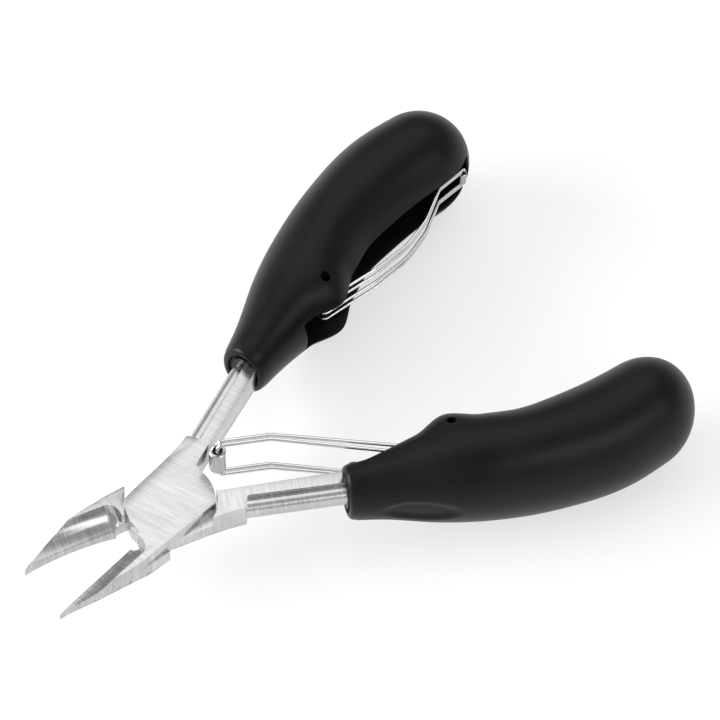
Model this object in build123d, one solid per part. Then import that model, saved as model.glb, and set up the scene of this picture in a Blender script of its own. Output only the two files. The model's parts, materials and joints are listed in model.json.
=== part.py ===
"""Heavy-duty toenail nipper: two crossed levers on a lap joint, padded handles, wire springs.

Frame: origin on the pivot axis at the underside of the lap joint. +Z is the pivot axis, the jaws
point to -X and the handles to +X. The right half has its handle on +Y, the left half on -Y.
The tool is drawn at rest, held open by its front spring. Lengths are millimetres.
"""

from build123d import *
from math import acos, atan2, cos, hypot, radians, sin, sqrt
import os

# ---- driving dimensions -------------------------------------------------------------------
JOINT_T = 6.3            # thickness of the lap joint and of the jaws
HALF_T = JOINT_T / 2
LAP_GAP = 0.04           # play between the two lapped plates
PLATE_R = 8.6            # round end of each lap plate
RECESS_R = 9.0           # round seat that the other half's plate turns in
JAW_ANGLE = 11.2         # each cutting edge stands this far from the mid plane at rest
JAW_ROOT_R = 11.2        # the cutting edge starts this far from the pivot
JAW_TIP_R = 29.87        # and ends here
ARM_ANGLE = 25.75        # inner face of each arm against the mid plane
ARM_START = (8.45, 3.5)  # where that inner face leaves the lap plate
ROD_ANGLE = 26.8         # axis of the rounded rod on the outer side of each shank

RIVET_R = 2.1
RIVET_HEAD_R = 3.3
RIVET_HEAD_T = 1.1
RUNNING_FIT = 0.04       # radial clearance of a turning fit

SKIN_T = 2.3             # soft cover over the hard core of a handle
PIN_XY = (51.0, 20.1)    # spring pin through the hump of each handle
PIN_R = 0.9
PIN_HALF_L = 7.2
SLOT_HALF_H = 4.6        # half height of the long slot on the inner side of a handle
LEG_SLOT_HALF_H = 6.5    # and of its taller stretch, which the front spring's legs swing into
BOW_SLOT_START_X = 40.4  # the right handle's slot, for the rear bow only, starts here

FRONT_WIRE_R = 0.39
FRONT_LEG_Z = 5.3        # height of the front spring's legs above and below the middle
ROLLER_R = 1.65
ROLLER_BORE_R = 0.98
ROLLER_HALF_L = 3.0
REAR_WIRE_R = 0.28
REAR_SLEEVE_AT = (91.2, 28.4)
SLEEVE_R = 0.85
SLEEVE_BORE_R = 0.62
SLEEVE_HALF_L = 1.6

# Handle sections from front to tail: x, y of the centre, half width across, half height.
# They are square to the centre line.
HANDLE_SECTIONS = [
    (28.8, 16.7, 4.7, 6.8),
    (36.0, 19.8, 6.0, 8.2),
    (44.0, 23.3, 8.2, 10.4),
    (51.5, 26.6, 9.4, 11.9),
    (60.0, 31.0, 9.3, 12.7),
    (68.0, 33.7, 9.8, 12.8),
    (77.0, 35.6, 10.2, 12.9),
    (85.0, 36.0, 9.9, 12.9),
]
TAIL_LENGTH = 11.3       # rounded tail beyond the last section
TAIL_STEPS = (0.4, 0.7, 0.9, 0.985)
HUMP_AT, HUMP_ANGLE = (49.4, 21.3), 24.5   # the hump over the spring pin, on the inner side
HUMP_HALF_SIZE = (6.0, 6.4, 9.0)           # along, across and up

RIGHT, LEFT = 1, -1

# Plan of the slot's floor, front to tail: the front stretch differs between the handles.
SLOT_FLOOR_FRONT = {
    RIGHT: [(36.0, 16.5), (41.5, 19.3), (46.0, 21.5)],
    LEFT: [(30.0, 13.8), (36.0, 17.8), (41.5, 21.2)],
}
SLOT_FLOOR_REAR = [(51.0, 23.6), (60.0, 27.4), (70.0, 30.2), (80.0, 31.9), (88.0, 32.6), (93.6, 31.0)]


# ---- small helpers ------------------------------------------------------------------------
START_AT_X = (Align.MIN, Align.CENTER, Align.CENTER)


def polar(radius, angle):
    return (radius * cos(radians(angle)), radius * sin(radians(angle)))


def prism(sketch, low, high):
    return Pos(0, 0, low) * extrude(sketch, amount=high - low)


def closed_face(*lines):
    """A face inside the given lines, which follow each other round."""
    return make_face([edge for line in lines for edge in line.edges()])


def write(name, shape):
    """Writes one node, lifted so that the underside of the joint is at Z = 0."""
    os.makedirs("parts", exist_ok=True)
    export_step(Pos(0, 0, HALF_T) * shape, f"parts/{name}.step")


def mirrored_for(side, shape):
    return shape if side == RIGHT else shape.mirror(Plane.XZ)


# ---- levers -------------------------------------------------------------------------------
# Everything here is drawn for the right half, whose handle is on +Y and whose jaw is on -Y.
def jaw_point(radius):
    """A point on the cutting edge's line."""
    a = radians(JAW_ANGLE)
    return (-radius * cos(a), -radius * sin(a))


def arm_point(along, outward=0.0):
    """A point that far along the arm's inner face from its start, and that far outside it."""
    a = radians(ARM_ANGLE)
    return (ARM_START[0] + along * cos(a) - outward * sin(a),
            ARM_START[1] + along * sin(a) + outward * cos(a))


def lap_outline():
    """Plan of the lap layer: block, round plate and jaw in one piece."""
    plate_front = polar(PLATE_R, 195.5)
    plate_far = polar(PLATE_R, 142.3)
    plate_rear = polar(PLATE_R, -39.5)
    plate_inner = polar(PLATE_R, 9.0)
    tip = jaw_point(JAW_TIP_R)
    edge_root = jaw_point(JAW_ROOT_R)
    rod_end = Line(arm_point(5.6), (12.8, 7.6))
    block_end = Spline((12.8, 7.6), (11.9, 8.35), (11.4, 9.1), (10.6, 9.7))
    outer = Spline((10.6, 9.7), (5.0, 7.95), (0.0, 6.85), plate_far)
    front = ThreePointArc(plate_far, polar(PLATE_R, 168), plate_front)
    relief = Polyline(plate_front, (-8.95, -2.45), (-9.7, -2.62), (-10.7, -2.65), edge_root)
    edge = Line(edge_root, tip)
    jaw_back = Spline(tip, (-27.0, -6.25), (-24.0, -6.98), (-20.5, -7.55), (-16.5, -7.85),
                      (-12.5, -7.87), (-10.0, -7.55))
    near = Line((-10.0, -7.55), plate_rear)
    rear = ThreePointArc(plate_rear, polar(PLATE_R, -15), plate_inner)
    arm = Polyline(plate_inner, ARM_START, arm_point(5.6))
    return closed_face(outer, front, relief, edge, jaw_back, near, rear, arm, rod_end, block_end)


def jaw_shoulder():
    """Plan of the shoulder behind the jaw, in the layer that the other plate turns in."""
    return make_face(Polyline((-5.2, -7.3), (-5.45, -7.6), (-9.8, -7.86), (-12.5, -7.87),
                              (-12.5, -5.0), (-7.0, -5.5), close=True))


def shank_frame():
    """A plane at the arm's start whose Z runs along the rod and X points outward."""
    origin = (ARM_START[0], ARM_START[1], 0)
    along = (cos(radians(ROD_ANGLE)), sin(radians(ROD_ANGLE)), 0)
    outward = (-sin(radians(ROD_ANGLE)), cos(radians(ROD_ANGLE)), 0)
    return Plane(origin=origin, x_dir=outward, z_dir=along)


def shank():
    """Flat inner band with the rounded rod beside it, and the tang that enters the handle."""
    band = Polyline(arm_point(0), arm_point(36), arm_point(36, 2.9), arm_point(3, 1.95),
                    arm_point(0, 1.9), close=True)
    tang = Polyline(arm_point(32, 0.4), arm_point(47, 0.4), arm_point(47, 3.4),
                    arm_point(32, 3.4), close=True)
    rod_seat = shank_frame().offset(3.4) * Pos(2.9, 0, 0)
    rod = extrude(rod_seat * Ellipse(1.78, 2.25), amount=26.0)
    return prism(make_face(band), -HALF_T, HALF_T) + rod + prism(make_face(tang), -2.2, 2.2)


def side_profile():
    """Side view of the jaw: flat on top, arched underneath, so that the edge is a shallow bow."""
    top = HALF_T + 1
    root = -JAW_ROOT_R * cos(radians(JAW_ANGLE))
    arch = ThreePointArc((root, -HALF_T), (-20.4, -1.9), (-30.5, -3.95))
    rest = Polyline((-30.5, -3.95), (-30.5, top), (14.0, top), (14.0, -HALF_T), (root, -HALF_T))
    return extrude(Plane.XZ * closed_face(arch, rest), amount=15, both=True)


def edge_seat(radius, inward, height):
    """A plane square to the cutting edge: X points across the jaw gap, Y up, Z to the root."""
    a = radians(JAW_ANGLE)
    along = Vector(-cos(a), -sin(a), 0)
    across = Vector(-sin(a), cos(a), 0)
    origin = along * radius + across * inward + Vector(0, 0, height)
    return Plane(origin=origin, x_dir=across, z_dir=along * -1)


def grinding_wheel():
    """The round-ended roll that hollows the jaw from its outer rim down to the cutting edge."""
    wheel_r = 5.5
    end_fillet = 2.4
    length = 28.0
    seat = edge_seat(radius=9.55, inward=1.2, height=4.49)
    roll = Cylinder(wheel_r, length, align=(Align.CENTER, Align.CENTER, Align.MAX))
    roll = fillet(roll.faces().sort_by(Axis.Z)[-1].edges(), end_fillet)
    return seat * roll


def edge_bevel():
    """The narrow ground facet that thins each jaw to its cutting edge."""
    width, top_z, low_z, length = 0.34, -0.78, -1.95, 22.0
    profile = Polyline((-width, top_z + 0.4), (-width, top_z), (0, low_z), (0.6, low_z),
                       (0.6, top_z + 0.4), close=True)
    seat = edge_seat(radius=JAW_ROOT_R - 0.6, inward=0, height=0)
    return extrude(seat * make_face(profile), amount=-length)


def lever(side):
    """One half: lap plate, jaw, block and shank. The lap is on top in the right half."""
    lap_edge = LAP_GAP / 2
    low = -HALF_T - 1.0
    other_range = (low, lap_edge) if side == RIGHT else (-lap_edge, HALF_T)
    whole = prism(lap_outline(), low, HALF_T) + prism(jaw_shoulder(), *other_range)
    seat = Pos(0, 0, other_range[0]) * Cylinder(
        RECESS_R, other_range[1] - other_range[0], align=(Align.CENTER, Align.CENTER, Align.MIN))
    whole = (whole & side_profile()) - seat - grinding_wheel() - edge_bevel()
    whole = whole + shank()
    play = RUNNING_FIT if side == RIGHT else 0
    whole = whole - Cylinder(RIVET_R + play, 20)
    return mirrored_for(side, whole) - rivet_head(side, play)


def rivet_head(side, gap):
    """A countersunk head, flush with the joint's face on the given side."""
    head = Cone(RIVET_R + gap, RIVET_HEAD_R + gap, RIVET_HEAD_T,
                align=(Align.CENTER, Align.CENTER, Align.MAX))
    if side == RIGHT:
        return Pos(0, 0, HALF_T) * head
    return Pos(0, 0, -HALF_T) * Rot(180, 0, 0) * head


def pivot_rivet():
    return Cylinder(RIVET_R, JOINT_T) + rivet_head(RIGHT, 0) + rivet_head(LEFT, 0)


# ---- handles ------------------------------------------------------------------------------
def handle_body(inset=0.0):
    """The moulded handle, a smooth loft with a hump; inset shrinks it to the hard core."""
    sections = []
    count = len(HANDLE_SECTIONS)
    for i, (x, y, across, high) in enumerate(HANDLE_SECTIONS):
        before = HANDLE_SECTIONS[max(i - 1, 0)]
        after = HANDLE_SECTIONS[min(i + 1, count - 1)]
        heading = atan2(after[1] - before[1], after[0] - before[0])
        sections.append(section_at(x, y, heading, across - inset, high - inset))
    x, y, across, high = HANDLE_SECTIONS[-1]
    for step in TAIL_STEPS:
        share = sqrt(1 - step * step)
        reach = x + (TAIL_LENGTH - inset) * step
        sections.append(section_at(reach, y - 0.6 * step * step, 0.0,
                                   (across - inset) * share, (high - inset) * share))
    hump = scale(Sphere(1), by=tuple(half - inset for half in HUMP_HALF_SIZE))
    return loft(sections) + Pos(*HUMP_AT, 0) * Rot(0, 0, HUMP_ANGLE) * hump


def section_at(x, y, heading, across, high):
    seat = Plane(origin=(x, y, 0), x_dir=(-sin(heading), cos(heading), 0),
                 z_dir=(cos(heading), sin(heading), 0))
    return seat * Ellipse(across, high)


def spring_slot(side):
    """The slot along the inner side of a handle, for the springs.

    The left one starts further forward and is taller there, for the front spring's legs to swing
    in. Its front collar stays closed between the two legs.
    """
    floor = SLOT_FLOOR_FRONT[side] + SLOT_FLOOR_REAR
    mouth = Polyline(floor[-1], (96.0, 12.0), (30.0, 0.0), floor[0])
    plan = closed_face(Spline(*floor), mouth)
    long_slot = prism(plan, -SLOT_HALF_H, SLOT_HALF_H)
    if side == RIGHT:
        return long_slot & (Pos(BOW_SLOT_START_X, 0, 0) * Box(80, 160, 20, align=START_AT_X))
    leg_slot = prism(plan, -LEG_SLOT_HALF_H, LEG_SLOT_HALF_H) & (Pos(43, 10, 0) * Box(28, 60, 20))
    collar = Pos(31, 10, 0) * Box(4.6, 40, 2 * SLOT_HALF_H - 0.4)
    return long_slot + leg_slot - collar


def thumb_dimple():
    """The shallow oval hollow on the outer side, behind the front of the handle."""
    hollow = scale(Sphere(1), by=(7.6, 2.2, 4.4))
    return Pos(38.2, 29.95, 0) * Rot(0, 0, 35.5) * hollow


def handle_grip(side):
    grip = handle_body() - handle_body(SKIN_T) - spring_slot(side) - pin_hole(0.05) - thumb_dimple()
    return mirrored_for(side, grip - shank())


def handle_core(side):
    core = handle_body(SKIN_T) - spring_slot(side) - pin_hole(0) - shank()
    return mirrored_for(side, core)


def pin_hole(gap):
    return Pos(*PIN_XY, 0) * Cylinder(PIN_R + gap, 40)


def spring_pin(side):
    pin = Cylinder(PIN_R, 2 * PIN_HALF_L)
    pin = chamfer(pin.edges(), 0.15)
    return Pos(PIN_XY[0], side * PIN_XY[1], 0) * pin


# ---- springs ------------------------------------------------------------------------------
def pin_eye(pin, radius, leg_end, height, sense):
    """Three quarters of a turn round the pin, starting where a leg from leg_end touches it."""
    reach = hypot(leg_end[0] - pin[0], leg_end[1] - pin[1])
    bearing = atan2(leg_end[1] - pin[1], leg_end[0] - pin[0])
    touch = bearing + sense * acos(radius / reach)
    turns = [touch + sense * radians(step) for step in (0, 135, 270)]
    return [(pin[0] + radius * cos(t), pin[1] + radius * sin(t), height) for t in turns]


def bent_wire(plan, heights, end_height, pin, wire_r, sense, bends):
    """A U of wire: a leg from the pin's eye, down at the far end, and a mirrored leg back.

    plan lists the leg's points from the far end to the pin, heights its height at each.
    """
    eye_r = PIN_R + wire_r + 0.03
    eye = pin_eye(pin, eye_r, plan[-1], end_height, sense)
    leg = [(x, y, z) for (x, y), z in zip(plan, heights)] + [eye[0]]
    below = [(x, y, -z) for x, y, z in leg]
    run = FilletPolyline(*reversed(leg), *below, radius=list(reversed(bends)) + list(bends))
    upper_eye = ThreePointArc(*eye)
    lower_eye = ThreePointArc(*[(x, y, -z) for x, y, z in eye])
    path = Wire([*upper_eye.edges(), *run.edges(), *lower_eye.edges()])
    start = path @ 0
    section = Plane(origin=start, z_dir=path % 0) * Circle(wire_r)
    return sweep(section, path=path)


def shifted(points, amount):
    """Plan points moved sideways, square to the run between their neighbours."""
    moved = []
    for i, (x, y) in enumerate(points):
        before = points[max(i - 1, 0)]
        after = points[min(i + 1, len(points) - 1)]
        length = hypot(after[0] - before[0], after[1] - before[1])
        moved.append((x - amount * (after[1] - before[1]) / length,
                      y + amount * (after[0] - before[0]) / length))
    return moved


def front_roller_at():
    """The roller stands just clear of the right arm's inner face."""
    return arm_point(4.8, -(ROLLER_R + 0.36))


def front_wire(sense):
    """One of the two wires of the front spring, which lie side by side."""
    pin = (PIN_XY[0], -PIN_XY[1])
    plan = shifted([front_roller_at(), (22.8, -0.9), (41.5, -17.9)], sense * 0.46)
    end_height = FRONT_LEG_Z + (0.43 if sense > 0 else -0.43)
    heights = [FRONT_LEG_Z, FRONT_LEG_Z, end_height]
    return bent_wire(plan, heights, end_height, pin, FRONT_WIRE_R, sense, (1.15, 4.0, 2.5))


def front_roller():
    tube = Cylinder(ROLLER_R, 2 * ROLLER_HALF_L) - Cylinder(ROLLER_BORE_R, 20)
    return Pos(*front_roller_at(), 0) * tube


def rear_wire(outer):
    """One of the two nested wires of the rear bow spring."""
    end_x = REAR_SLEEVE_AT[0] + (0.31 if outer else -0.31)
    plan = [(end_x, REAR_SLEEVE_AT[1]), (84.6, 27.5), (78.0, 22.9), (71.3, 20.2), (62.5, 19.1),
            (56.0, 19.1)]
    tail_z, mid_z, pin_z = (2.65, 2.9, 3.3) if outer else (1.95, 1.6, 1.3)
    heights = [tail_z, tail_z, mid_z, mid_z, pin_z, pin_z]
    return bent_wire(plan, heights, pin_z, PIN_XY, REAR_WIRE_R, -1, (0.45, 1.5, 9, 18, 16, 4))


def rear_sleeve():
    tube = Cylinder(SLEEVE_R, 2 * SLEEVE_HALF_L) - Cylinder(SLEEVE_BORE_R, 20)
    return Pos(*REAR_SLEEVE_AT, 0) * tube


NODES = {
    "right_lever": lambda: lever(RIGHT),
    "left_lever": lambda: lever(LEFT),
    "pivot_rivet": pivot_rivet,
    "right_grip": lambda: handle_grip(RIGHT),
    "left_grip": lambda: handle_grip(LEFT),
    "right_core": lambda: handle_core(RIGHT),
    "left_core": lambda: handle_core(LEFT),
    "right_spring_pin": lambda: spring_pin(RIGHT),
    "left_spring_pin": lambda: spring_pin(LEFT),
    "front_wire_near": lambda: front_wire(1),
    "front_wire_far": lambda: front_wire(-1),
    "front_roller": front_roller,
    "rear_wire_outer": lambda: rear_wire(True),
    "rear_wire_inner": lambda: rear_wire(False),
    "rear_sleeve": rear_sleeve,
}

for node_name, make in NODES.items():
    write(node_name, make())
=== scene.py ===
"""Looks of a heavy toenail nipper: ground steel levers, soft-touch handles and polished wire springs.

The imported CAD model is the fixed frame. Lengths are millimetres, measured from the middle plane of
the lap joint, and are turned into metres when a mesh is made. The right half (handle on +Y) is
drawn, and the left half is its mirror image.
"""

import json
from math import acos, asin, atan2, cos, hypot, pi, radians, sin, sqrt, tan

import bmesh
import bpy
import numpy as np
from mathutils import Matrix, Vector


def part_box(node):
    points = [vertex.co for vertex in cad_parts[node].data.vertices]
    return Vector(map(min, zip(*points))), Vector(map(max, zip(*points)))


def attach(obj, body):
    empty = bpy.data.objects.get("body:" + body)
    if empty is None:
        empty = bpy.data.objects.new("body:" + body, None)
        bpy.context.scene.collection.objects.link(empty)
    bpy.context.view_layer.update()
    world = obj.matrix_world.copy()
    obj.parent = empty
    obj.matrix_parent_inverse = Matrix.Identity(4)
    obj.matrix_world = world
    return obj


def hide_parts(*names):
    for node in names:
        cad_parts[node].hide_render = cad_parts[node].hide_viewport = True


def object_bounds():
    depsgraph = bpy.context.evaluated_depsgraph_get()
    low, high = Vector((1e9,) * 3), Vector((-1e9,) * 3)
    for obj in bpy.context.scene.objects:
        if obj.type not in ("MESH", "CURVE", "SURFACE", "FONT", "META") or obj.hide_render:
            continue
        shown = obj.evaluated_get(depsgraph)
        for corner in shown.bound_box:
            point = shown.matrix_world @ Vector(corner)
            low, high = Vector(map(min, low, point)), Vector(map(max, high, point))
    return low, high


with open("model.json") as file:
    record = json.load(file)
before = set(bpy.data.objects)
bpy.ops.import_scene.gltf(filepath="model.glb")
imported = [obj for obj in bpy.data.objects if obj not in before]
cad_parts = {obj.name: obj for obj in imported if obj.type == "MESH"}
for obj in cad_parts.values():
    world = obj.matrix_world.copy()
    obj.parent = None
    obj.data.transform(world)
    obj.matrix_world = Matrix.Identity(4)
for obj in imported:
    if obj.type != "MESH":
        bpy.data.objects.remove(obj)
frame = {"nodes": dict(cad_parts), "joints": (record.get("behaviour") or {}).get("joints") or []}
CAD_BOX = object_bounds()

MM = 0.001
MID_Z = sum(corner.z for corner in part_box("pivot_rivet")) / 2
RIGHT, LEFT = 1, -1
SIDES = {RIGHT: "right", LEFT: "left"}
JOINT_AT = {joint["name"]: joint["pos_m"] for joint in frame["joints"]}


def plan_mm(joint):
    """Where a joint's axis stands in plan, in millimetres."""
    x, y, _ = JOINT_AT[joint]
    return (x / MM, y / MM)


# ---- camera, floor and light --------------------------------------------------------------
CAMERA_HEADING = radians(38.53)
CAMERA_DROP = radians(57.44)
CAMERA_ROLL = radians(2.21)
CAMERA_AIM = Vector((0.04889, 0.00568, MID_Z))
CAMERA_DISTANCE = 0.7798
CAMERA_LENS = 201.6


def make_camera():
    data = bpy.data.cameras.new("camera")
    data.lens = CAMERA_LENS
    data.sensor_width = 36
    data.clip_start = 0.05
    data.clip_end = 20
    camera = bpy.data.objects.new("camera", data)
    bpy.context.scene.collection.objects.link(camera)
    view = Vector((cos(CAMERA_DROP) * sin(CAMERA_HEADING), cos(CAMERA_DROP) * cos(CAMERA_HEADING),
                   -sin(CAMERA_DROP)))
    level_right = Vector((cos(CAMERA_HEADING), -sin(CAMERA_HEADING), 0))
    level_up = level_right.cross(view)
    right = level_right * cos(CAMERA_ROLL) + level_up * sin(CAMERA_ROLL)
    up = level_up * cos(CAMERA_ROLL) - level_right * sin(CAMERA_ROLL)
    turn = Matrix((right, up, -view)).transposed().to_4x4()
    camera.matrix_world = Matrix.Translation(CAMERA_AIM - view * CAMERA_DISTANCE) @ turn
    bpy.context.scene.camera = camera


def softbox(name, place, size, power, aim=CAMERA_AIM):
    data = bpy.data.lights.new(name, "AREA")
    data.shape = "RECTANGLE"
    data.size, data.size_y = size
    data.energy = power
    light = bpy.data.objects.new(name, data)
    light.location = place
    light.rotation_euler = (aim - Vector(place)).to_track_quat("-Z", "Y").to_euler()
    bpy.context.scene.collection.objects.link(light)


def make_floor():
    mesh = bpy.data.meshes.new("floor")
    reach = 6.0
    low = CAD_BOX[0][2]
    corners = [(-reach, -reach, low), (reach, -reach, low), (reach, reach, low), (-reach, reach, low)]
    mesh.from_pydata(corners, [], [(0, 1, 2, 3)])
    floor = bpy.data.objects.new("floor", mesh)
    bpy.context.scene.collection.objects.link(floor)
    paper, nodes, links, shader = new_material("floor_paper")
    shader.inputs["Base Color"].default_value = (0.35, 0.35, 0.35, 1)
    shader.inputs["Roughness"].default_value = 0.9
    shader.inputs["Specular IOR Level"].default_value = 0.1
    shader.inputs["Emission Color"].default_value = (1, 1, 1, 1)
    shader.inputs["Emission Strength"].default_value = 0.62
    mesh.materials.append(paper)


def make_world():
    """A pale studio, dimmer near the horizon than overhead."""
    world = bpy.data.worlds.new("studio")
    world.use_nodes = True
    nodes, links = world.node_tree.nodes, world.node_tree.links
    place = nodes.new("ShaderNodeTexCoord")
    split = nodes.new("ShaderNodeSeparateXYZ")
    ramp = nodes.new("ShaderNodeValToRGB")
    ramp.color_ramp.elements[0].position = 0.08
    ramp.color_ramp.elements[0].color = (0.42, 0.42, 0.425, 1)
    ramp.color_ramp.elements[1].position = 0.40
    ramp.color_ramp.elements[1].color = (0.50, 0.50, 0.51, 1)
    links.new(place.outputs["Generated"], split.inputs[0])
    links.new(split.outputs["Z"], ramp.inputs["Fac"])
    links.new(ramp.outputs["Color"], nodes["Background"].inputs["Color"])
    nodes["Background"].inputs["Strength"].default_value = 1.0
    bpy.context.scene.world = world


def make_lights():
    softbox("overhead", (0.28, 0.22, 0.85), (0.95, 0.95), 2.7)
    softbox("left", (-0.80, 0.55, 0.40), (0.9, 0.5), 20.0)
    softbox("front", (0.15, -0.95, 0.50), (0.9, 0.4), 3.0)


# ---- materials ----------------------------------------------------------------------------
def new_material(name):
    material = bpy.data.materials.new(name)
    material.use_nodes = True
    nodes, links = material.node_tree.nodes, material.node_tree.links
    return material, nodes, links, nodes["Principled BSDF"]


def place_along(nodes, links, angle, scale):
    """Coordinates turned so that X runs at the angle in plan, and stretched by scale."""
    place = nodes.new("ShaderNodeTexCoord")
    turn = nodes.new("ShaderNodeMapping")
    turn.vector_type = "TEXTURE"
    turn.inputs["Rotation"].default_value = (0, 0, angle)
    stretch = nodes.new("ShaderNodeMapping")
    stretch.inputs["Scale"].default_value = scale
    links.new(place.outputs["Object"], turn.inputs["Vector"])
    links.new(turn.outputs["Vector"], stretch.inputs["Vector"])
    return stretch.outputs["Vector"]


def noise(nodes, links, vector, detail=4.0, roughness=0.6):
    texture = nodes.new("ShaderNodeTexNoise")
    texture.inputs["Scale"].default_value = 1.0
    texture.inputs["Detail"].default_value = detail
    texture.inputs["Roughness"].default_value = roughness
    links.new(vector, texture.inputs["Vector"])
    return texture.outputs["Fac"]


def ramp_of(nodes, links, factor, low, high, low_at=0.3, high_at=0.7):
    ramp = nodes.new("ShaderNodeMapRange")
    ramp.inputs["From Min"].default_value = low_at
    ramp.inputs["From Max"].default_value = high_at
    ramp.inputs["To Min"].default_value = low
    ramp.inputs["To Max"].default_value = high
    links.new(factor, ramp.inputs["Value"])
    return ramp.outputs["Result"]


def tint_between(nodes, links, factor, dark, light):
    ramp = nodes.new("ShaderNodeValToRGB")
    ramp.color_ramp.elements[0].position = 0.3
    ramp.color_ramp.elements[0].color = (*dark, 1)
    ramp.color_ramp.elements[1].position = 0.7
    ramp.color_ramp.elements[1].color = (*light, 1)
    links.new(factor, ramp.inputs["Fac"])
    return ramp.outputs["Color"]


def add_bump(nodes, links, shader, height, strength, distance):
    bump = nodes.new("ShaderNodeBump")
    bump.inputs["Strength"].default_value = strength
    bump.inputs["Distance"].default_value = distance
    links.new(height, bump.inputs["Height"])
    links.new(bump.outputs["Normal"], shader.inputs["Normal"])


def ground_steel(name, angle, line_mm, dark, light, smooth, rough, bump):
    """Steel ground in one direction: the lines cross the given angle in plan."""
    material, nodes, links, shader = new_material(name)
    across = 1.0 / (line_mm * MM)
    fine = noise(nodes, links, place_along(nodes, links, angle, (across, across / 45, across / 45)), 6)
    broad = noise(nodes, links, place_along(nodes, links, angle, (across / 9, across / 90, across / 90)), 3)
    mixed = nodes.new("ShaderNodeMix")
    mixed.inputs["Factor"].default_value = 0.35
    links.new(fine, mixed.inputs["A"])
    links.new(broad, mixed.inputs["B"])
    grain = mixed.outputs["Result"]
    links.new(tint_between(nodes, links, grain, dark, light), shader.inputs["Base Color"])
    links.new(ramp_of(nodes, links, grain, smooth, rough), shader.inputs["Roughness"])
    shader.inputs["Metallic"].default_value = 1.0
    add_bump(nodes, links, shader, grain, bump, 0.00004)
    return material


def soft_touch(name):
    """Black soft-touch rubber: a fine pebble grain with a dull sheen."""
    material, nodes, links, shader = new_material(name)
    grain = noise(nodes, links, place_along(nodes, links, 0, (2600, 2600, 2600)), 3)
    cloud = noise(nodes, links, place_along(nodes, links, 0, (70, 70, 70)), 2)
    links.new(tint_between(nodes, links, cloud, (0.003, 0.003, 0.0034), (0.006, 0.006, 0.0066)),
              shader.inputs["Base Color"])
    links.new(ramp_of(nodes, links, cloud, 0.34, 0.41), shader.inputs["Roughness"])
    shader.inputs["IOR"].default_value = 1.26
    add_bump(nodes, links, shader, grain, 0.22, 0.00005)
    return material


def drawn_wire(name):
    """Polished spring wire with faint drawing marks."""
    material, nodes, links, shader = new_material(name)
    marks = noise(nodes, links, place_along(nodes, links, radians(-40), (500, 5000, 5000)), 3)
    links.new(tint_between(nodes, links, marks, (0.70, 0.70, 0.71), (0.82, 0.82, 0.83)),
              shader.inputs["Base Color"])
    links.new(ramp_of(nodes, links, marks, 0.06, 0.12), shader.inputs["Roughness"])
    shader.inputs["Metallic"].default_value = 1.0
    return material


# Spring pin steel coloured nearly black: painted shade, so the holes over the pin ends read dark.
def painted_shade_pin(name):
    material, nodes, links, shader = new_material(name)
    marks = noise(nodes, links, place_along(nodes, links, 0, (3000, 3000, 800)), 3)
    links.new(tint_between(nodes, links, marks, (0.012, 0.012, 0.013), (0.03, 0.03, 0.032)),
              shader.inputs["Base Color"])
    links.new(ramp_of(nodes, links, marks, 0.35, 0.5), shader.inputs["Roughness"])
    shader.inputs["Metallic"].default_value = 0.6
    return material


# ---- mesh helpers -------------------------------------------------------------------------
def mesh_piece(name, points, faces, side=RIGHT):
    """A mesh object from millimetre points. The left side is the mirror image."""
    placed = [(x * MM, side * y * MM, z * MM + MID_Z) for x, y, z in points]
    if side == LEFT:
        faces = [tuple(reversed(face)) for face in faces]
    mesh = bpy.data.meshes.new(name)
    mesh.from_pydata(placed, [], faces)
    mesh.validate()
    mesh.polygons.foreach_set("use_smooth", [True] * len(mesh.polygons))
    piece = bpy.data.objects.new(name, mesh)
    bpy.context.scene.collection.objects.link(piece)
    return piece


def install(piece, node, body, slot, *materials):
    """The piece stands for a CAD node: same body, with its materials. The slot argument is not used."""
    piece.data.materials.clear()
    for material in materials:
        piece.data.materials.append(material)
    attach(piece, body)
    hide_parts(node)


def apply_modifiers(piece):
    bpy.context.view_layer.update()
    graph = bpy.context.evaluated_depsgraph_get()
    finished = bpy.data.meshes.new_from_object(piece.evaluated_get(graph))
    piece.modifiers.clear()
    piece.data = finished


def bevelled(piece, width_mm):
    """Rounds every edge sharper than 28 degrees."""
    bevel = piece.modifiers.new("bevel", "BEVEL")
    bevel.width = width_mm * MM
    bevel.segments = 2
    bevel.limit_method = "ANGLE"
    bevel.angle_limit = radians(28)
    bevel.harden_normals = True
    apply_modifiers(piece)


def cubic_through(knots, values, at):
    """A natural cubic curve through the values at the knots, read at the given places."""
    x, y, at = np.array(knots, float), np.array(values, float), np.array(at, float)
    gap = np.diff(x)
    slope = np.diff(y) / gap
    count = len(x)
    system = np.eye(count)
    right = np.zeros(count)
    for i in range(1, count - 1):
        system[i, i - 1: i + 2] = (gap[i - 1], 2 * (gap[i - 1] + gap[i]), gap[i])
        right[i] = 6 * (slope[i] - slope[i - 1])
    bend = np.linalg.solve(system, right)
    k = np.clip(np.searchsorted(x, at) - 1, 0, count - 2)
    t = at - x[k]
    return (y[k] + t * (slope[k] - gap[k] * (2 * bend[k] + bend[k + 1]) / 6)
            + t ** 2 * bend[k] / 2 + t ** 3 * (bend[k + 1] - bend[k]) / (6 * gap[k]))


def smooth_step(t):
    t = np.clip(t, 0, 1)
    return t * t * (3 - 2 * t)


def smooth_step_back(share):
    """The t at which smooth_step reaches the given share."""
    return 0.5 - sin(asin(1 - 2 * share) / 3)


def lathe(name, profile, centre, side=RIGHT, turns=48):
    """A ring or plug turned about a vertical axis: profile is a closed list of (radius, z)."""
    points, faces = [], []
    count = len(profile)
    for k in range(turns):
        angle = 2 * pi * k / turns
        for radius, z in profile:
            points.append((centre[0] + radius * cos(angle), centre[1] + radius * sin(angle), z))
    for k in range(turns):
        for i in range(count):
            a, b = k * count + i, k * count + (i + 1) % count
            c, d = (a + count) % (turns * count), (b + count) % (turns * count)
            faces.append((a, c, d, b))
    return mesh_piece(name, points, faces, side)


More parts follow.
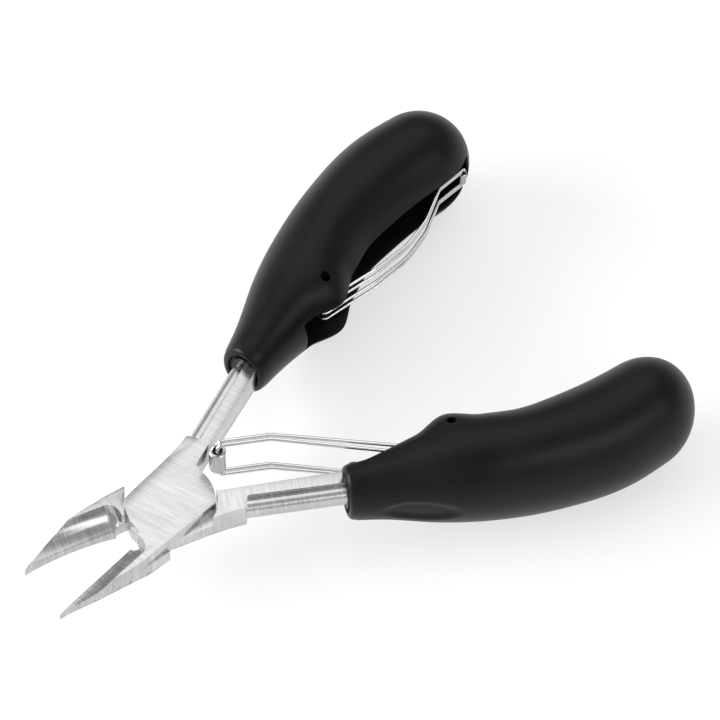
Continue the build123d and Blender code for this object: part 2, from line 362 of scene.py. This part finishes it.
# ---- handles ------------------------------------------------------------------------------
# Handle sections from front to tail: x, y of the centre, half width across, half height.
SECTIONS = [
    (28.8, 16.7, 4.7, 6.8),
    (36.0, 19.8, 6.0, 8.2),
    (44.0, 23.3, 8.2, 10.4),
    (51.5, 26.6, 9.4, 11.9),
    (60.0, 31.0, 9.3, 12.7),
    (68.0, 33.7, 9.8, 12.8),
    (77.0, 35.6, 10.2, 12.9),
    (85.0, 36.0, 9.9, 12.9),
]
TAIL_LENGTH = 11.15
RIM_R = 1.1              # rounded rim of the front face
RIM_LIP = 0.35           # width of the step inside that rim
FACE_RECESS = 0.8        # the front face is sunk this far inside the rim
SLOT_START = {RIGHT: 40.4, LEFT: 30.8}
SLOT_END = 93.2
SLOT_END_T = 1.4         # the slot's ends come up over this length
LIP_T = 0.5              # width of the rounded lip and wall of the slot
# Slot: x, half height, and how far its floor lies inside the handle's centre line. On the left
# it is taller at the front, where the opening spring's legs swing in.
SLOT_REAR = [(60, 4.5, 3.6), (70, 4.45, 4.1), (80, 4.4, 4.1), (93.5, 4.3, 3.5)]
SLOT_SHAPE = {
    RIGHT: [(36, 4.5, 3.6), (41.5, 4.5, 3.3), (46, 4.5, 3.2), (51, 4.5, 3.3)] + SLOT_REAR,
    LEFT: [(32, 6.4, 2.6), (36, 6.4, 1.7), (41.5, 6.4, 0.8), (46, 6.4, 1.4), (51, 6.4, 2.5)] + SLOT_REAR,
}
HUMP_AT, HUMP_HALF_L, HUMP_RISE = 48.0, 5.8, 2.1   # over the spring pin, on the inner side
DIMPLE_AT, DIMPLE_HALF_L, DIMPLE_HALF_H, DIMPLE_DEPTH = 41.0, 7.2, 3.2, 0.75
OUTER_STEPS, WALL_STEPS, FLOOR_STEPS = 84, 14, 14   # points along each part of a section
SLOT_SHARE_OF_HEIGHT = 0.87   # the slot takes up no more of a section's height than this
PIN_HOLE_R = 0.95
PIN_HOLE_FLOOR, PIN_HOLE_TOP = 6.9, 14


def handle_stations(slot_start):
    """Places along the handle, closer together where the slot starts."""
    body = list(np.linspace(SECTIONS[0][0] + RIM_R, SECTIONS[-1][0], 118))
    ends = [slot_start + SLOT_END_T * smooth_step_back(step) for step in np.linspace(0, 1, 9)]
    keep = [x for x in body if not slot_start - 0.2 < x < slot_start + SLOT_END_T + 0.2]
    return sorted(keep + ends)


def tail_stations():
    steps = list(np.sin(np.linspace(0, pi / 2, 26)[1:-1]))
    x0 = SECTIONS[-1][0]
    ends = [(SLOT_END - SLOT_END_T * smooth_step_back(s) - x0) / TAIL_LENGTH
            for s in np.linspace(0, 1, 9)]
    low, high = min(ends) - 0.01, max(ends) + 0.01
    return sorted([s for s in steps if not low < s < high] + ends)


def section_ring(side, at, centre, heading, across, high):
    """The closed outline of the handle at one place: round outside, slot on the inner side."""
    slot_x, slot_h, slot_floor = zip(*SLOT_SHAPE[side])
    half = float(np.interp(at, slot_x, slot_h))
    half = min(half, SLOT_SHARE_OF_HEIGHT * high)
    floor = -float(cubic_through(slot_x, slot_floor, [np.clip(at, slot_x[0], slot_x[-1])])[0])
    opening = float(smooth_step((at - SLOT_START[side]) / SLOT_END_T)
                    * smooth_step((SLOT_END - at) / SLOT_END_T))
    hump = HUMP_RISE * float(smooth_step(1 - abs(at - HUMP_AT) / HUMP_HALF_L))

    def skin(v):
        return -(across + hump) * sqrt(max(0.0, 1 - (v / high) ** 2))

    def sunk(v, share):
        surface = skin(v)
        return surface + max(0.0, floor - surface) * share * opening

    outline = []
    lip_v = half + LIP_T / 2
    start = pi - asin(min(1.0, lip_v / high))
    for step in np.linspace(start, -start, OUTER_STEPS):
        reach = across if abs(step) < pi / 2 else across + hump
        outline.append((reach * cos(step), high * sin(step)))
    for sign in (-1, 1):
        wall = []
        for share in np.linspace(0, 1, WALL_STEPS)[1:]:
            v = half + LIP_T * (0.5 - smooth_step_back(share))
            wall.append((sunk(v, share), sign * v))
        if sign == -1:
            outline += wall
            inside = half - LIP_T / 2
            outline += [(sunk(v, 1), v) for v in np.linspace(-inside, inside, FLOOR_STEPS)[1:-1]]
        else:
            outline += wall[::-1]
    normal = (-sin(heading), cos(heading))
    ring = []
    for u, v in outline:
        if u > 0:
            along = (at - DIMPLE_AT) / DIMPLE_HALF_L
            dish = 1 - along ** 2 - (v / DIMPLE_HALF_H) ** 2
            u -= DIMPLE_DEPTH * float(smooth_step(max(dish, 0.0) * 1.3))
        ring.append((centre[0] + u * normal[0], centre[1] + u * normal[1], v))
    return ring


def handle_rings(side):
    xs, ys, widths, heights = zip(*SECTIONS)
    rings = []

    def add(at, shrink=0.0, back=0.0):
        y = float(cubic_through(xs, ys, [at])[0])
        rise = float(cubic_through(xs, ys, [at + 0.01])[0]) - float(cubic_through(xs, ys, [at - 0.01])[0])
        heading = atan2(rise, 0.02)
        across = float(cubic_through(xs, widths, [at])[0]) - shrink
        high = float(cubic_through(xs, heights, [at])[0]) - shrink
        centre = (at + back * cos(heading), y + back * sin(heading))
        rings.append(section_ring(side, at, centre, heading, across, high))

    front = xs[0]
    inner = RIM_R + RIM_LIP
    add(front, inner + 2.2, FACE_RECESS + 0.25)
    add(front, inner + 0.5, FACE_RECESS)
    add(front, inner + 0.12, FACE_RECESS - 0.15)
    add(front, inner, FACE_RECESS - 0.5)
    add(front, inner - 0.05, 0.12)
    add(front, RIM_R + 0.12, 0.0)
    for step in np.linspace(0, pi / 2, 7):
        add(front, RIM_R * (1 - sin(step)), RIM_R * (1 - cos(step)))
    for at in handle_stations(SLOT_START[side])[1:]:
        add(at)
    x0, y0, across, high = SECTIONS[-1]
    for step in tail_stations():
        share = sqrt(1 - step * step)
        centre = (x0 + TAIL_LENGTH * step, y0 - 0.6 * step * step)
        rings.append(section_ring(side, centre[0], centre, 0.0, across * share, high * share))
    return rings


def pin_hole_cutter(side):
    """Two plugs over and under the hump, which leave the dark holes above the spring pin."""
    points, faces = [], []
    x, y = plan_mm("rear_spring_flex")
    sides = 40
    for end in (1, -1):
        base = len(points)
        for z in (end * PIN_HOLE_FLOOR, end * PIN_HOLE_TOP):
            for k in range(sides):
                angle = end * 2 * pi * k / sides
                points.append((x + PIN_HOLE_R * cos(angle), y + PIN_HOLE_R * sin(angle), z))
        for k in range(sides):
            a, b = base + k, base + (k + 1) % sides
            faces.append((a, b, b + sides, a + sides))
        faces.append(tuple(base + k for k in reversed(range(sides))))
        faces.append(tuple(base + sides + k for k in range(sides)))
    return mesh_piece("pin_hole_cutter", points, faces, side)


def recalculate(piece):
    """Merges doubled points and turns all the mesh's faces outwards."""
    bm = bmesh.new()
    bm.from_mesh(piece.data)
    bmesh.ops.remove_doubles(bm, verts=bm.verts, dist=2e-6)
    bmesh.ops.recalc_face_normals(bm, faces=bm.faces)
    if bm.calc_volume(signed=True) < 0:
        bmesh.ops.reverse_faces(bm, faces=bm.faces)
    bm.to_mesh(piece.data)
    bm.free()


def make_grip(side, rubber):
    rings = handle_rings(side)
    count = len(rings[0])
    points = [point for ring in rings for point in ring]
    faces = []
    for k in range(len(rings) - 1):
        for i in range(count):
            a, b = k * count + i, k * count + (i + 1) % count
            faces.append((a, b, b + count, a + count))
    for ring, first in ((rings[0], 0), (rings[-1], (len(rings) - 1) * count)):
        middle = np.mean(ring, axis=0)
        points.append(tuple(middle))
        for i in range(count):
            faces.append((first + i, first + (i + 1) % count, len(points) - 1))
    grip = mesh_piece(f"{SIDES[side]}_handle", points, faces, side)
    recalculate(grip)
    cutter = pin_hole_cutter(side)
    recalculate(cutter)
    cut = grip.modifiers.new("pin_hole", "BOOLEAN")
    cut.object = cutter
    cut.operation = "DIFFERENCE"
    cut.solver = "EXACT"
    cut.use_self = True
    apply_modifiers(grip)
    bpy.data.objects.remove(cutter)
    grip.data.set_sharp_from_angle(angle=radians(50))
    install(grip, f"{SIDES[side]}_grip", f"{SIDES[side]}_half", "soft_touch", rubber)


# ---- levers, rivet and pins ---------------------------------------------------------------
JAW_FROM_X = -9.0        # the jaws, ground along their own edge, lie beyond this
BROKEN_EDGE = 0.13       # every corner of the steel is broken this much
RIVET_NECK_R, RIVET_HEAD_T = 2.1, 1.1
RIVET_PROUD = 0.004      # the head stands just proud of the plates and covers its seat's edge
SHANK_FROM_X = 13.0      # and the shanks from here on
ARM_ANGLE = radians(25.75)
EDGE_ANGLE = radians(11.2)


def make_lever(side, steels):
    """The CAD lever with its flat faces merged and its corners broken, ground by region."""
    name = SIDES[side]
    source = frame["nodes"][f"{name}_lever"]
    piece = bpy.data.objects.new(f"{name}_steel", source.data.copy())
    bpy.context.scene.collection.objects.link(piece)
    bm = bmesh.new()
    bm.from_mesh(piece.data)
    bmesh.ops.remove_doubles(bm, verts=bm.verts, dist=1e-6)
    bmesh.ops.dissolve_limit(bm, angle_limit=radians(0.4), verts=bm.verts, edges=bm.edges)
    bm.to_mesh(piece.data)
    bm.free()
    piece.data.polygons.foreach_set("use_smooth", [True] * len(piece.data.polygons))
    bevelled(piece, BROKEN_EDGE)
    install(piece, f"{name}_lever", f"{name}_half", "steel", *steels)
    for polygon in piece.data.polygons:
        x = polygon.center.x / MM
        polygon.material_index = 1 if x < JAW_FROM_X else (2 if x > SHANK_FROM_X else 0)


def lever_steels(side):
    """Ground steel for the plate, the jaw and the shank of one half."""
    name = SIDES[side]
    arm = side * ARM_ANGLE
    edge = side * EDGE_ANGLE
    plate = ground_steel(f"{name}_plate_steel", arm, 0.11, (0.42, 0.42, 0.425), (0.72, 0.72, 0.72),
                         0.20, 0.30, 0.30)
    jaw = ground_steel(f"{name}_jaw_steel", edge, 0.14, (0.32, 0.32, 0.325), (0.62, 0.62, 0.62),
                       0.20, 0.32, 0.40)
    shank = ground_steel(f"{name}_shank_steel", arm, 0.16, (0.44, 0.44, 0.445), (0.60, 0.60, 0.60),
                         0.20, 0.30, 0.15)
    return plate, jaw, shank


def make_rivet(steel):
    low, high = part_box("pivot_rivet")
    half = (high.z - low.z) / 2 / MM + RIVET_PROUD
    head = (high.x - low.x) / 2 / MM + 2 * BROKEN_EDGE
    under_head = half - RIVET_HEAD_T
    profile = [(0.001, -half), (head, -half), (RIVET_NECK_R, -under_head), (RIVET_NECK_R, under_head),
               (head, half), (0.001, half)]
    rivet = lathe("rivet", profile, (0, 0), turns=96)
    rivet.data.set_sharp_from_angle(angle=radians(30))
    install(rivet, "pivot_rivet", "left_half", "steel", steel)


def make_pin(side, steel):
    name = f"{SIDES[side]}_spring_pin"
    low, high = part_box(name)
    radius = (high.x - low.x) / 2 / MM
    half = (high.z - low.z) / 2 / MM
    profile = [(0.001, -half), (radius - 0.15, -half), (radius, -half + 0.15), (radius, half - 0.15),
               (radius - 0.15, half), (0.001, half)]
    pin = lathe(f"{SIDES[side]}_pin", profile, plan_mm("rear_spring_flex"), side)
    pin.data.set_sharp_from_angle(angle=radians(30))
    install(pin, name, f"{SIDES[side]}_half", "pin_steel", steel)


# ---- springs ------------------------------------------------------------------------------
def rounded(points, radii, steps=10):
    """The points of a 3-D path with each inner corner rounded to its radius."""
    path = [Vector(points[0])]
    for i, radius in enumerate(radii, 1):
        corner = Vector(points[i])
        back = (Vector(points[i - 1]) - corner).normalized()
        ahead = (Vector(points[i + 1]) - corner).normalized()
        half = acos(max(-1.0, min(1.0, back.dot(ahead)))) / 2
        reach = radius / tan(half)
        middle = corner + (back + ahead).normalized() * (radius / sin(half))
        start = corner + back * reach - middle
        finish = corner + ahead * reach - middle
        sweep = pi - 2 * half
        for k in range(steps + 1):
            t = k / steps
            path.append(middle + (start * sin((1 - t) * sweep) + finish * sin(t * sweep)) / sin(sweep))
    path.append(Vector(points[-1]))
    return path


def eye_points(pin, radius, leg_end, height, sense, turn=270, steps=28):
    """Most of a turn round the pin, starting where a leg from leg_end touches it."""
    reach = hypot(leg_end[0] - pin[0], leg_end[1] - pin[1])
    bearing = atan2(leg_end[1] - pin[1], leg_end[0] - pin[0])
    touch = bearing + sense * acos(radius / reach)
    angles = [touch + sense * radians(turn) * k / steps for k in range(steps + 1)]
    return [(pin[0] + radius * cos(t), pin[1] + radius * sin(t), height) for t in angles]


def make_wire(name, node, body, path, radius, steel):
    """Round wire along a path of millimetre points."""
    curve = bpy.data.curves.new(name, "CURVE")
    curve.dimensions = "3D"
    curve.bevel_depth = radius * MM
    curve.bevel_resolution = 6
    curve.use_fill_caps = True
    spline = curve.splines.new("POLY")
    spline.points.add(len(path) - 1)
    for point, (x, y, z) in zip(spline.points, path):
        point.co = (x * MM, y * MM, z * MM + MID_Z, 1)
    wire = bpy.data.objects.new(name, curve)
    bpy.context.scene.collection.objects.link(wire)
    install(wire, node, body, "spring_wire", steel)


def wire_path(plan, heights, pin_z, pin, eye_r, sense, bends):
    """Eye, leg, the turn down at the far end, and the mirrored leg and eye."""
    eye = eye_points(pin, eye_r, plan[-1], pin_z, sense)
    leg = [(x, y, z) for (x, y), z in zip(plan, heights)] + [eye[0]]
    below = [(x, y, -z) for x, y, z in leg]
    corners = list(reversed(leg)) + below
    run = rounded(corners, list(reversed(bends)) + list(bends))
    upper = [Vector(p) for p in reversed(eye)][:-1]
    lower = [Vector((x, y, -z)) for x, y, z in eye][1:]
    return upper + run + lower


def shifted(points, amount):
    """Plan points moved sideways, square to the run between their neighbours."""
    moved = []
    for i, (x, y) in enumerate(points):
        before = points[max(i - 1, 0)]
        after = points[min(i + 1, len(points) - 1)]
        length = hypot(after[0] - before[0], after[1] - before[1])
        moved.append((x - amount * (after[1] - before[1]) / length,
                      y + amount * (after[0] - before[0]) / length))
    return moved


PIN_R = 0.9
FRONT_WIRE_R, FRONT_LEG_Z = 0.39, 5.3
REAR_WIRE_R = 0.29


def make_front_spring(steel):
    pin = plan_mm("front_spring_swing")
    roller = plan_mm("front_roller_spin")
    for sense, node in ((1, "front_wire_near"), (-1, "front_wire_far")):
        plan = shifted([roller, (22.8, -0.9), (41.5, -17.9)], sense * 0.46)
        pin_z = FRONT_LEG_Z + sense * 0.43
        path = wire_path(plan, [FRONT_LEG_Z, FRONT_LEG_Z, pin_z], pin_z, pin,
                         PIN_R + FRONT_WIRE_R + 0.03, sense, (1.15, 4.0, 2.5))
        make_wire(node.replace("front", "opening"), node, "front_spring", path, FRONT_WIRE_R, steel)


def make_rear_spring(steel):
    pin = plan_mm("rear_spring_flex")
    end_x, end_y = plan_mm("rear_sleeve_spin")
    shape = [(84.6, 27.5), (78.0, 22.9), (71.3, 20.2), (62.5, 19.1), (56.0, 19.1)]
    kinds = (("outer", 0.31, (2.65, 2.65, 2.9, 2.9, 3.3, 3.3)),
             ("inner", -0.31, (1.95, 1.95, 1.6, 1.6, 1.3, 1.3)))
    for kind, offset, heights in kinds:
        plan = [(end_x + offset, end_y)] + shape
        path = wire_path(plan, heights, heights[-1], pin, PIN_R + REAR_WIRE_R + 0.03, -1,
                         (0.45, 1.5, 9, 18, 16, 4))
        make_wire(f"bow_wire_{kind}", f"rear_wire_{kind}", "rear_spring", path, REAR_WIRE_R, steel)


def make_tube(name, node, body, joint, bore, steel):
    low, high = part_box(node)
    radius = (high.x - low.x) / 2 / MM
    half = (high.z - low.z) / 2 / MM
    edge = 0.12
    profile = [(bore + edge, -half), (radius - edge, -half), (radius, -half + edge),
               (radius, half - edge), (radius - edge, half), (bore + edge, half),
               (bore, half - edge), (bore, -half + edge)]
    tube = lathe(name, profile, plan_mm(joint), turns=64)
    tube.data.set_sharp_from_angle(angle=radians(30))
    install(tube, node, body, "roller_steel", steel)


# ---- the whole tool -----------------------------------------------------------------------
make_camera()
make_world()
make_lights()
make_floor()

rubber = soft_touch("soft_touch_rubber")
core_plastic = soft_touch("core_plastic")
wire_steel = drawn_wire("spring_wire_steel")
tube_steel = ground_steel("tube_steel", 0, 0.12, (0.30, 0.30, 0.305), (0.52, 0.52, 0.52), 0.16, 0.26, 0.2)
# The pins' near-black colour is painted shade for the dark pin holes.
pin_steel = painted_shade_pin("pin_steel_painted_shade")

for side in SIDES:
    steels = lever_steels(side)
    make_lever(side, steels)
    make_grip(side, rubber)
    make_pin(side, pin_steel)
    core = frame["nodes"][f"{SIDES[side]}_core"]
    core.data.materials.clear()
    core.data.materials.append(core_plastic)
    if side == RIGHT:
        make_rivet(steels[0])

make_front_spring(wire_steel)
make_rear_spring(wire_steel)
make_tube("opening_roller", "front_roller", "front_roller", "front_roller_spin", 0.98, tube_steel)
make_tube("bow_sleeve", "rear_sleeve", "rear_sleeve", "rear_sleeve_spin", 0.62, tube_steel)

bpy.context.scene.view_settings.view_transform = "Standard"
